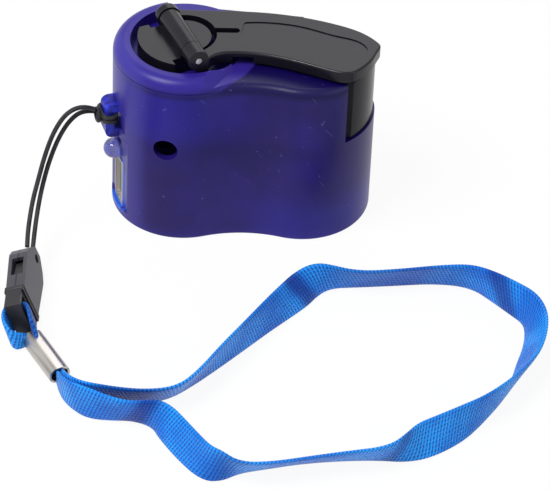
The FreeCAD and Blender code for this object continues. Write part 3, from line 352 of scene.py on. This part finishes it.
def buckle_nylon():
    """Grey nylon with a fine parting line along the middle of the buckle's thickness."""
    finish = moulded("grey_nylon", rgb(0.047, 0.045, 0.057), 0.40)
    x, y, z = (part - float(middle) / MM for part, middle in zip(finish.place(), BAR))
    depth = x * float(BAR_OUT[0]) + y * float(BAR_OUT[1]) + z * float(BAR_OUT[2])
    seam = depth.math("ABSOLUTE").smooth(0.22, 0.12)
    plain = Value(finish, finish.shader.inputs["Base Color"].links[0].from_socket)
    return finish.set(Base_Color=finish.blend(seam * 0.85, plain, rgb(0.004, 0.004, 0.006)))


DRAWN_STRETCH = 25.0  # how much longer a drawn line is than it is wide
DRAWN_LINES, DRAWN_BANDS = 6000.0, 900.0  # to the metre


def metal(name, colour, rough, heading=None):
    """Drawn metal: fine lines and soft bands along its height, or along a level heading."""
    finish = Finish(name)
    stretch = (1.0, 1.0, DRAWN_STRETCH) if heading is None else (DRAWN_STRETCH, 1.0, 1.0)
    drawn = finish.drawn((0.0, 0.0, heading or 0.0), stretch)
    lines = finish.grains(drawn, DRAWN_LINES, 2.0)
    bands = finish.grains(drawn, DRAWN_BANDS, 1.0)
    dark = rgb(*(part * 0.55 for part in colour[:3]))
    base = finish.blend(bands.smooth(0.35, 0.65), dark, colour)
    finish.set(Base_Color=base, Metallic=1.0, Roughness=lines * 0.15 + rough)
    return finish.bumped(lines, 0.01, 0.3)


RIB = 0.85  # mm from one rib of the webbing to the next
RIB_SLANT = 0.35  # how far a rib runs along the webbing for its way across
YARN = 1.0  # mm from one lengthwise yarn to the next
CREASE_SLANT = 0.5  # the same for a crease's painted shade

# painted shade on the webbing's stretches and creases that lie in shadow: how far along the loop
# each is, how far it reaches, both in millimetres, and how dark the painted shade gets
CREASE_SHADOWS = (
    (21.0, 11.0, 0.7), (76.0, 4.0, 0.75), (99.0, 26.0, 0.4), (127.0, 5.0, 0.75),
    (197.0, 3.0, 0.5), (236.0, 5.0, 0.3), (262.0, 4.0, 0.75),
)


def webbing():
    """Azure webbing over a UV map in mm: the height is a sine of slanting ribs and one of yarns."""
    finish = Finish("azure_webbing")
    along, across, _ = finish.parts(finish.coordinates("UV"))
    ribs = (along + across * RIB_SLANT).wave(RIB)
    yarns = across.wave(YARN)
    height = ribs * 0.7 + yarns * 0.3
    tone = finish.noise(5)
    # painted sheen: soft patches where the webbing is painted lighter, as if catching the light
    sheen = finish.noise(11, 1.0).smooth(0.35, 0.65)
    deep = finish.blend(tone, rgb(0.003, 0.06, 0.42), rgb(0.004, 0.10, 0.56))
    dull = finish.blend(tone, rgb(0.006, 0.17, 0.68), rgb(0.010, 0.22, 0.80))
    light = finish.blend(sheen, dull, rgb(0.018, 0.36, 1.0))
    # painted shade and light: the weave's hollows made darker and the tops of its ribs lighter
    base = finish.blend(height.smooth(0.1, 0.6), deep, light)
    for place, reach, depth in CREASE_SHADOWS:
        away = (along + across * CREASE_SLANT - place).math("ABSOLUTE")
        # painted shade in the creases and the stretches that lie in shadow
        base = finish.blend(away.smooth(reach, reach * 0.2) * depth, base, rgb(0.002, 0.022, 0.26))
    finish.set(Base_Color=base, Roughness=0.4)
    finish.set(Sheen_Weight=0.05, Sheen_Roughness=0.4, Specular_IOR_Level=0.2)
    return finish.bumped(height, 0.22, 0.9)


BRAID_PASSES = 150  # how often a strand of the braid comes by in a metre of cord
BRAID_STRANDS = 4  # each way round


def braid():
    """Black braided cord over its UV map: the higher of two sines that cross each other."""
    finish = Finish("black_braid")
    along, around, _ = finish.parts(finish.coordinates("UV"))
    one = ((along * BRAID_PASSES + around * BRAID_STRANDS) * (2 * math.pi)).math("SINE")
    two = ((along * BRAID_PASSES - around * BRAID_STRANDS) * (2 * math.pi)).math("SINE")
    height = one.math("MAXIMUM", two) * 0.5 + 0.5
    base = finish.blend(height, rgb(0.002, 0.002, 0.003), rgb(0.020, 0.020, 0.024))
    finish.set(Base_Color=base, Roughness=0.6, Sheen_Weight=0.08, Specular_IOR_Level=0.3)
    return finish.bumped(height, 0.1, 0.8)


def clear_lens():
    """The light's lens: pale blue plastic, clear and glossy, a little cloudy inside."""
    finish = Finish("clear_lens")
    cloud = finish.noise(1.5)
    base = finish.blend(cloud, rgb(0.30, 0.30, 0.85), rgb(0.60, 0.60, 0.95))
    finish.set(Base_Color=base, Roughness=cloud * 0.05 + 0.04)
    return finish.set(Transmission_Weight=0.85, IOR=1.46, Coat_Weight=0.3, Coat_Roughness=0.05)


FERRULE_HEADING = math.radians(-61.6)

FINISHES = {
    "shell": frosted_shell(),
    "crank": moulded("dark_grey_satin", rgb(0.006, 0.005, 0.009), 0.25, shine=0.25),
    "grip": moulded("near_black_satin", rgb(0.004, 0.004, 0.007), 0.24, shine=0.12),
    "buckle": buckle_nylon(),
    "plug": moulded("dark_nylon", rgb(0.014, 0.014, 0.016), 0.40),
    "deep": moulded("blue_black_plastic", rgb(0.005, 0.003, 0.045), 0.4),
    "white": moulded("white_plastic", rgb(0.78, 0.76, 0.70), 0.42),
    "plate": moulded("grey_plate", rgb(0.10, 0.10, 0.13), 0.5),
    "board": moulded("green_board", rgb(0.02, 0.16, 0.06), 0.4),
    "nickel": metal("satin_nickel", rgb(0.56, 0.53, 0.50), 0.24, FERRULE_HEADING),
    "tin": metal("tinned_steel", rgb(0.78, 0.75, 0.71), 0.42),
    "steel": metal("bright_steel", rgb(0.62, 0.61, 0.60), 0.22),
    "iron": metal("dark_iron", rgb(0.20, 0.20, 0.21), 0.4),
    "brass": metal("cut_brass", rgb(0.72, 0.50, 0.20), 0.3),
    "lens": clear_lens(),
    "webbing": webbing(),
    "cord": braid(),
}

NODE_FINISH = {
    "front_shell": "shell", "rear_shell": "shell", "shell_screws": "steel",
    "crank_hub": "crank", "crank_arm": "crank", "crank_grip": "grip",
    "hinge_pin": "steel", "grip_pin": "steel", "drive_gear": "white",
    "idler_gear_one": "white", "idler_gear_two": "white", "idler_axle_one": "steel",
    "idler_axle_two": "steel", "generator_pinion": "brass", "generator_can": "steel",
    "generator_cap": "white", "generator_rotor": "iron", "gear_plate": "plate",
    "usb_shell": "tin", "usb_tongue": "white", "circuit_board": "board", "led": "lens",
    "led_leads": "steel", "dc_socket": "deep", "buckle_socket": "buckle",
    "buckle_plug": "plug", "strap_ferrule": "nickel",
}


def dress_nodes():
    """Every node that keeps its own shape gets its finish on all its material slots."""
    for node, name in NODE_FINISH.items():
        data = NODES[node].data
        if not data.materials:
            data.materials.append(None)
        for slot in range(len(data.materials)):
            data.materials[slot] = FINISHES[name].material


# ------------------------------------------------------------------ surfaces

def surface(name, grid, closed_rows, finish, uv=None):
    """A mesh from a grid of points, rows by columns, whose columns run round a closed loop.

    closed_rows joins the last row to the first, as on a ring, and otherwise a cap closes each
    end.  uv is a grid of the same shape; the loop's seam takes its value from uv's extra last
    column, and a ring's seam from its extra last row.
    """
    rows, columns = grid.shape[:2]
    index = np.arange(rows * columns).reshape(rows, columns)
    down = np.roll(index, -1, axis=0) if closed_rows else index[1:]
    here = index if closed_rows else index[:-1]
    quads = np.stack([here, np.roll(here, -1, axis=1), np.roll(down, -1, axis=1), down], axis=-1)
    faces = quads.reshape(-1, 4).tolist()
    if not closed_rows:
        faces += [index[0, ::-1].tolist(), index[-1].tolist()]
    mesh = bpy.data.meshes.new(name)
    mesh.from_pydata(grid.reshape(-1, 3).tolist(), [], faces)
    if uv is not None:
        layer = mesh.uv_layers.new(name="UVMap")
        row, column = np.indices(here.shape)
        corners = np.stack([uv[row, column], uv[row, column + 1], uv[row + 1, column + 1],
                            uv[row + 1, column]], axis=2).reshape(-1, 2)
        full = np.zeros((len(mesh.loops), 2))
        full[:len(corners)] = corners
        layer.data.foreach_set("uv", full.ravel())
    mesh.polygons.foreach_set("use_smooth", [True] * len(mesh.polygons))
    mesh.materials.append(FINISHES[finish].material)
    mesh.update()
    piece = bpy.data.objects.new(name, mesh)
    bpy.context.collection.objects.link(piece)
    return piece


def spline_points(points, per_span):
    """Points along a quadratic NURBS curve with the given control points, per_span to a span."""
    curve = bpy.data.curves.new("route", "CURVE")
    curve.dimensions = "3D"
    spline = curve.splines.new("NURBS")
    spline.points.add(len(points) - 1)
    for point, place in zip(spline.points, points):
        point.co = (*place, 1.0)
    spline.order_u = 3
    spline.use_endpoint_u = True
    spline.resolution_u = per_span
    piece = bpy.data.objects.new("route", curve)
    mesh = bpy.data.meshes.new_from_object(piece)
    found = np.array([vertex.co for vertex in mesh.vertices])
    bpy.data.meshes.remove(mesh)
    bpy.data.objects.remove(piece)
    bpy.data.curves.remove(curve)
    return found


def spline_values(values, per_span):
    """A value at each point of such a curve, from one value for each control point."""
    return spline_points([(index, 0.0, value) for index, value in enumerate(values)], per_span)[:, 2]


def lengths(path):
    """The distance of each point of a path from its start, along the path."""
    steps = np.linalg.norm(np.diff(path, axis=0), axis=1)
    return np.concatenate([[0.0], np.cumsum(steps)])


def unit(vectors):
    """Rows of vectors at length one."""
    return vectors / np.linalg.norm(vectors, axis=-1, keepdims=True)


def sides(path):
    """The direction of a path at each point, and the level direction to its left.

    There is no such level direction at a point where the path stands upright.
    """
    ahead = unit(np.gradient(path, axis=0))
    return ahead, unit(np.cross(UP, ahead))


def turns(steps):
    """Angles that go once round in even steps."""
    return np.linspace(0, 2 * np.pi, steps, endpoint=False)


def rounded(values, power):
    """Sines or cosines raised to a power with their sign kept, which squares off a circle."""
    return np.sign(values) * np.abs(values) ** power


# ------------------------------------------------------------------ webbing

STRAP_WIDTH = 9.0 * MM
STRAP_THICK = 1.0 * MM
STRAP_CORNERS = (0.35, 0.7)  # the powers that square off its section, across and through it
STRAP_SPAN = 12
STRAP_STEPS, FOLD_STEPS = 40, 32  # points round the section of the loop and of the fold
STRAP_CUP = 0.25 * MM  # how far the loop's section bows
CUP_REACH = 9 * MM  # the way along the loop in which the bow's sine turns by one radian
CUP_MIDDLE = 0.4  # where across the section the bow is level, squared
FLOOR_GAP = 0.1 * MM  # between the floor and the loop's lower edge
LEAST_GAP = 0.05 * MM  # what a point of the webbing keeps from the floor

# x, y in millimetres, and the tilt in degrees of the strap's width from level towards
# upright, seen along its way: it leans, but stands on one edge all the way round.  The rows
# aren't free choices: they follow a calculation from the strap's two edges closely.
STRAP_STATIONS = [
    (-27.1, -67.2, 90), (-26.2, -71.4, 92), (-22.4, -75.2, 105), (-15.0, -76.6, 113),
    (-8.0, -76.6, 118), (-2.0, -74.8, 122), (2.4, -70.6, 115), (8.5, -62.9, 100),
    (14.0, -56.2, 91), (19.8, -49.0, 80), (24.0, -43.9, 70), (27.6, -39.4, 62),
    (30.8, -36.4, 76), (34.8, -35.1, 104), (41.3, -35.5, 116), (50.4, -34.6, 115),
    (59.5, -33.6, 112), (67.4, -34.2, 103), (72.6, -38.0, 88), (77.0, -42.0, 78),
    (80.6, -45.4, 72), (81.8, -50.0, 60), (81.2, -55.6, 55), (79.4, -61.4, 53),
    (77.4, -66.4, 62), (73.4, -73.2, 74), (67.6, -79.8, 87), (62.4, -84.2, 105),
    (57.6, -87.4, 113), (53.4, -89.8, 113), (49.6, -92.2, 88), (45.0, -94.0, 62),
    (36.2, -94.8, 55), (27.0, -96.0, 50), (19.0, -97.8, 51), (12.4, -98.8, 58),
    (8.4, -98.6, 92), (5.0, -97.6, 108), (0.4, -91.2, 114), (-4.0, -84.4, 111),
    (-7.0, -82.2, 84), (-11.4, -81.6, 70), (-16.0, -81.0, 78), (-21.2, -79.2, 92),
    (-25.0, -76.2, 88), (-27.4, -72.0, 90), (-28.1, -67.8, 90),
]
STRAP_NECK = 0.42  # share of the strap's width that goes into the ferrule
STRAP_SPREAD = 15 * MM  # the way from the ferrule over which it widens

# x, y, z and the width of the strap in millimetres, from the ferrule round the bar and back
FOLD_STATIONS = [
    (-34.5, -57.0, 2.1, 3.0), (-35.4, -55.4, 2.2, 3.4), (-36.8, -56.6, 2.8, 4.6),
    (-38.9, -57.6, 3.9, 6.2), (-40.1, -55.4, 4.7, 6.9), (-40.1, -52.6, 4.7, 7.0),
    (-39.3, -50.9, 5.0, 7.0), (-37.1, -50.8, 5.7, 7.0), (-35.0, -51.1, 6.5, 7.0),
    (-34.5, -52.8, 6.6, 7.0), (-34.3, -55.0, 5.6, 6.4), (-33.3, -56.3, 3.6, 4.6),
    (-33.2, -56.9, 2.4, 3.2), (-32.5, -57.9, 2.1, 3.0),
]


def strap_width(far):
    """The strap's width at each distance along it: gathered where it enters the ferrule."""
    ends = np.clip(np.minimum(far, far[-1] - far) / STRAP_SPREAD, 0, 1)
    return STRAP_WIDTH * (STRAP_NECK + (1 - STRAP_NECK) * np.sin(ends * np.pi / 2))


def station_route():
    """The strap's control points: its middle stands clear of the floor by its tilted half width."""
    stations = np.array(STRAP_STATIONS) * (MM, MM, math.pi / 180)
    half = strap_width(lengths(stations[:, :2])) / 2
    lean = stations[:, 2]
    rise = half * np.abs(np.sin(lean)) + STRAP_THICK / 2 * np.abs(np.cos(lean)) + FLOOR_GAP
    return np.column_stack([stations[:, :2], rise])


def band(name, path, ahead, wide, width, steps, cup):
    """Webbing along a path: at each point a flat section with squared-off ends.

    Each point of the section goes from the path along wide by half the width times a cosine,
    and across it by half the thickness times a sine, plus a bow of depth cup that is a
    parabola across the section and a sine along the way.
    """
    thin = unit(np.cross(wide, ahead))
    far = lengths(path)
    across = rounded(np.cos(turns(steps)), STRAP_CORNERS[0])
    through = rounded(np.sin(turns(steps)), STRAP_CORNERS[1])
    bow = cup * np.sin(far / CUP_REACH)[:, None] * (across[None, :] ** 2 - CUP_MIDDLE)
    offset = across[None, :, None] * (width / 2)[:, None, None] * wide[:, None, :]
    lift = (through[None, :] * STRAP_THICK / 2 + bow)[:, :, None] * thin[:, None, :]
    grid = path[:, None, :] + offset + lift
    grid[:, :, 2] = np.maximum(grid[:, :, 2], LEAST_GAP)
    closed = np.append(across, across[0])
    uv = np.stack([np.repeat(far[:, None] / MM, steps + 1, axis=1),
                   closed[None, :] * (width[:, None] / 2) / MM], axis=-1)
    return surface(name, grid, False, "webbing", uv)


def make_strap():
    """The webbing loop: a band whose width is turned up from level by the stations' tilt."""
    path = spline_points(station_route(), STRAP_SPAN)
    ahead, left = sides(path * LEVEL)
    tilt = np.radians(spline_values([tilt for _, _, tilt in STRAP_STATIONS], STRAP_SPAN))
    wide = np.cos(tilt)[:, None] * left + np.sin(tilt)[:, None] * UP
    far = lengths(path)
    piece = band("webbing_loop", path, ahead, wide, strap_width(far), STRAP_STEPS, STRAP_CUP)
    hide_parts("wrist_strap")
    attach(piece, "strap_side")


def make_fold():
    """The webbing's fold round the plug's bar: a band as wide as its stations say, whose width
    turns by a sine from upright at both ends, in the ferrule, to the bar's slant in between.
    """
    stations = np.array(FOLD_STATIONS) * MM
    path = spline_points(stations[:, :3], STRAP_SPAN)
    far = lengths(path)
    share = np.sin(np.pi * far / far[-1])[:, None]
    ahead = unit(np.gradient(path, axis=0))
    wide = unit((1 - share) * UP + share * BAR_UP)
    width = spline_values(stations[:, 3], STRAP_SPAN)
    piece = band("webbing_fold", path, ahead, wide, width, FOLD_STEPS, 0.0)
    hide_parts("strap_gather")
    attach(piece, "strap_side")


# ------------------------------------------------------------------ the plug's lip

LIP = 1.2 * MM  # the plug's lip, measured along the buckle
LIP_BACK = 6.1 * MM  # from the bar's middle back to the lip
LIP_REACH = (5.35 * MM, 2.5 * MM)  # half its width and half its thickness
LIP_STEPS = 64
LIP_CORNERS = 0.2  # the power that squares off its outline
LIP_SHARES = np.array([0.0, 0.08, 0.25, 0.75, 0.92, 1.0])  # where its outlines lie, along it
LIP_INSETS = np.array([0.35, 0.12, 0.0, 0.0, 0.12, 0.35]) * MM  # how far each is drawn in


def make_lip():
    """The plug's lip: squared-off ovals along the buckle, drawn in towards both of its rims."""
    start = BAR - BAR_AHEAD * LIP_BACK
    along_width = rounded(np.cos(turns(LIP_STEPS)), LIP_CORNERS)
    along_depth = rounded(np.sin(turns(LIP_STEPS)), LIP_CORNERS)
    half_width, half_depth = (reach - LIP_INSETS for reach in LIP_REACH)
    grid = (start + LIP_SHARES[:, None, None] * LIP * BAR_AHEAD
            + (half_width[:, None] * along_width)[:, :, None] * BAR_UP
            + (half_depth[:, None] * along_depth)[:, :, None] * BAR_OUT)
    piece = surface("buckle_lip", grid, False, "plug")
    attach(piece, "strap_side")


# ------------------------------------------------------------------ thin cord

CORD = 1.1 * MM
CORD_SPAN = 14
CORD_STEPS = 16  # points round the cord
STRAND_ONE = [
    (-20.9, -6.8, 31.0), (-23.6, -7.4, 32.6), (-27.6, -9.0, 31.6), (-30.6, -11.2, 27.4),
    (-32.6, -14.0, 22.4), (-34.0, -17.0, 17.8), (-35.2, -20.2, 14.3), (-35.9, -23.6, 11.2),
    (-36.3, -26.8, 8.6), (-36.3, -29.1, 7.4),
]
STRAND_TWO = [
    (-21.0, -5.8, 29.6), (-23.6, -6.4, 30.4), (-26.7, -8.2, 29.0), (-29.4, -10.4, 25.2),
    (-31.5, -13.2, 20.5), (-32.9, -16.2, 16.2), (-33.8, -19.6, 13.0), (-34.4, -23.1, 10.3),
    (-34.8, -26.5, 8.2), (-35.0, -29.1, 6.8),
]

HITCH_HALF = (1.70 * MM, 2.80 * MM)  # half a turn's reach out of the end face, and along it
HITCH_CORNERS = 0.6  # the power that squares off a turn
HITCH_STEPS = 96
HITCH_LIFT = 1.0 * MM  # above the middle of the plain solid
HITCH_LEVELS = (-0.6, 0.6)  # the heights of the two turns, in cords
HITCH_WAVE = 0.12 * MM
HITCH_SQUEEZE = 0.96  # how thick the cord is in the turns
BIGHT_OUT = 0.75 * MM  # how far the bight stands out of the turns
BIGHT_HALF = (1.35 * MM, 1.45 * MM)  # half its width and half its height


def tube(name, path, radius, finish, closed=False):
    """A round tube along a path, with UVs in metres along it and turns round it."""
    ahead, left = sides(path)
    over = np.cross(ahead, left)
    around = turns(CORD_STEPS)
    level, high = np.cos(around)[None, :, None], np.sin(around)[None, :, None]
    grid = path[:, None] + radius * (level * left[:, None] + high * over[:, None])
    far = lengths(np.vstack([path, path[:1]]) if closed else path)
    uv = np.stack([np.repeat(far[:, None], CORD_STEPS + 1, axis=1),
                   np.repeat(np.linspace(0, 1, CORD_STEPS + 1)[None], len(far), axis=0)], axis=-1)
    return surface(name, grid, closed, finish, uv)


def make_strands():
    """The two strands of thin cord, from the hitch on the lug to the buckle."""
    for name, node, points in (("cord_one", "cord_strand_one", STRAND_ONE),
                               ("cord_two", "cord_strand_two", STRAND_TWO)):
        path = spline_points(np.array(points) * MM, CORD_SPAN)
        piece = tube(name, path, CORD / 2, "cord")
        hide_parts(node)
        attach(piece, "housing")


def make_hitch():
    """The hitch: two turns of cord round the lug's bar, each a squared-off oval seen from above
    that rises and falls by a sine, and an upright oval of cord, the bight, in front of them.

    At the bight's two sides its path stands upright, so the tube is pinched there and one of
    its rings falls on the origin: a fault that is still to be mended.
    """
    low, high = (np.array(corner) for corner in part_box("cord_hitch"))
    middle = (low + high) / 2
    out = np.array([math.cos(END_HEADING), math.sin(END_HEADING), 0.0])
    side = np.cross(UP, out)
    around = turns(HITCH_STEPS)
    reach_out = HITCH_HALF[0] * rounded(np.cos(around), HITCH_CORNERS)
    reach_side = HITCH_HALF[1] * rounded(np.sin(around), HITCH_CORNERS)
    pieces = []
    for index, level in enumerate(HITCH_LEVELS):
        path = middle + reach_out[:, None] * out + reach_side[:, None] * side
        path[:, 2] += HITCH_LIFT + level * CORD + HITCH_WAVE * np.sin(around * 2 + index)
        pieces.append(tube(f"hitch_turn_{index + 1}", path, CORD / 2 * HITCH_SQUEEZE, "cord", True))
    front = middle + (HITCH_HALF[0] + BIGHT_OUT) * out
    path = front + np.cos(around)[:, None] * BIGHT_HALF[0] * side
    path[:, 2] += HITCH_LIFT + BIGHT_HALF[1] * np.sin(around)
    pieces.append(tube("hitch_bight", path, CORD / 2, "cord", True))
    for piece in pieces:
        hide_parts("cord_hitch")
        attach(piece, "housing")


# ------------------------------------------------------------------ floor and backdrop

WORLD_LEVEL = 0.30  # the strength of the white world as a light
FLOOR_WHITE = 0.93  # the share of plain white in the floor as the camera sees it
FLOOR_HALF = 3.0  # half the floor's width
FLOOR_SHADE = rgb(0.86, 0.86, 0.86)


def seen_rays(tree):
    """A socket that is 1 for rays from the camera and for those a shine or a clear piece passes on."""
    path = tree.nodes.new("ShaderNodeLightPath")
    seen = path.outputs["Is Camera Ray"]
    for ray in ("Is Glossy Ray", "Is Transmission Ray"):
        either = tree.nodes.new("ShaderNodeMath")
        either.operation = "MAXIMUM"
        tree.links.new(seen, either.inputs[0])
        tree.links.new(path.outputs[ray], either.inputs[1])
        seen = either.outputs[0]
    return seen


def add_floor():
    """A white floor that keeps a soft shadow: a mix of its own shade and of plain white."""
    mesh = bpy.data.meshes.new("floor")
    corners = [(x * FLOOR_HALF, y * FLOOR_HALF, 0) for x, y in ((-1, -1), (1, -1), (1, 1), (-1, 1))]
    mesh.from_pydata(corners, [], [(0, 1, 2, 3)])
    floor = bpy.data.objects.new("floor", mesh)
    bpy.context.collection.objects.link(floor)
    finish = Finish("white_floor")
    finish.set(Base_Color=FLOOR_SHADE, Roughness=0.9, Specular_IOR_Level=0.1)
    glow = finish.node("ShaderNodeEmission", {}, {"Strength": 1.0})
    share = Value(finish, seen_rays(finish.tree)) * FLOOR_WHITE
    shade = Value(finish, finish.shader.outputs[0])
    mix = finish.node("ShaderNodeMixShader", {}, (share, shade, glow))
    finish.feed(finish.tree.nodes["Material Output"].inputs[0], mix)
    mesh.materials.append(finish.material)


def add_world():
    """A white world: at full strength where it is seen, and at a lower level as a light."""
    world = bpy.data.worlds.new("studio")
    bpy.context.scene.world = world
    world.use_nodes = True
    tree = world.node_tree
    background = tree.nodes["Background"]
    background.inputs["Color"].default_value = rgb(1, 1, 1)
    level = tree.nodes.new("ShaderNodeMapRange")
    level.inputs["To Min"].default_value = WORLD_LEVEL
    tree.links.new(seen_rays(tree), level.inputs[0])
    tree.links.new(level.outputs[0], background.inputs["Strength"])


bpy.context.scene.view_settings.view_transform = "Standard"
add_camera()
for lamp in LAMPS:
    add_lamp(*lamp)
make_strands()
make_strap()
make_fold()
make_lip()
make_hitch()
dress_nodes()
add_floor()
add_world()
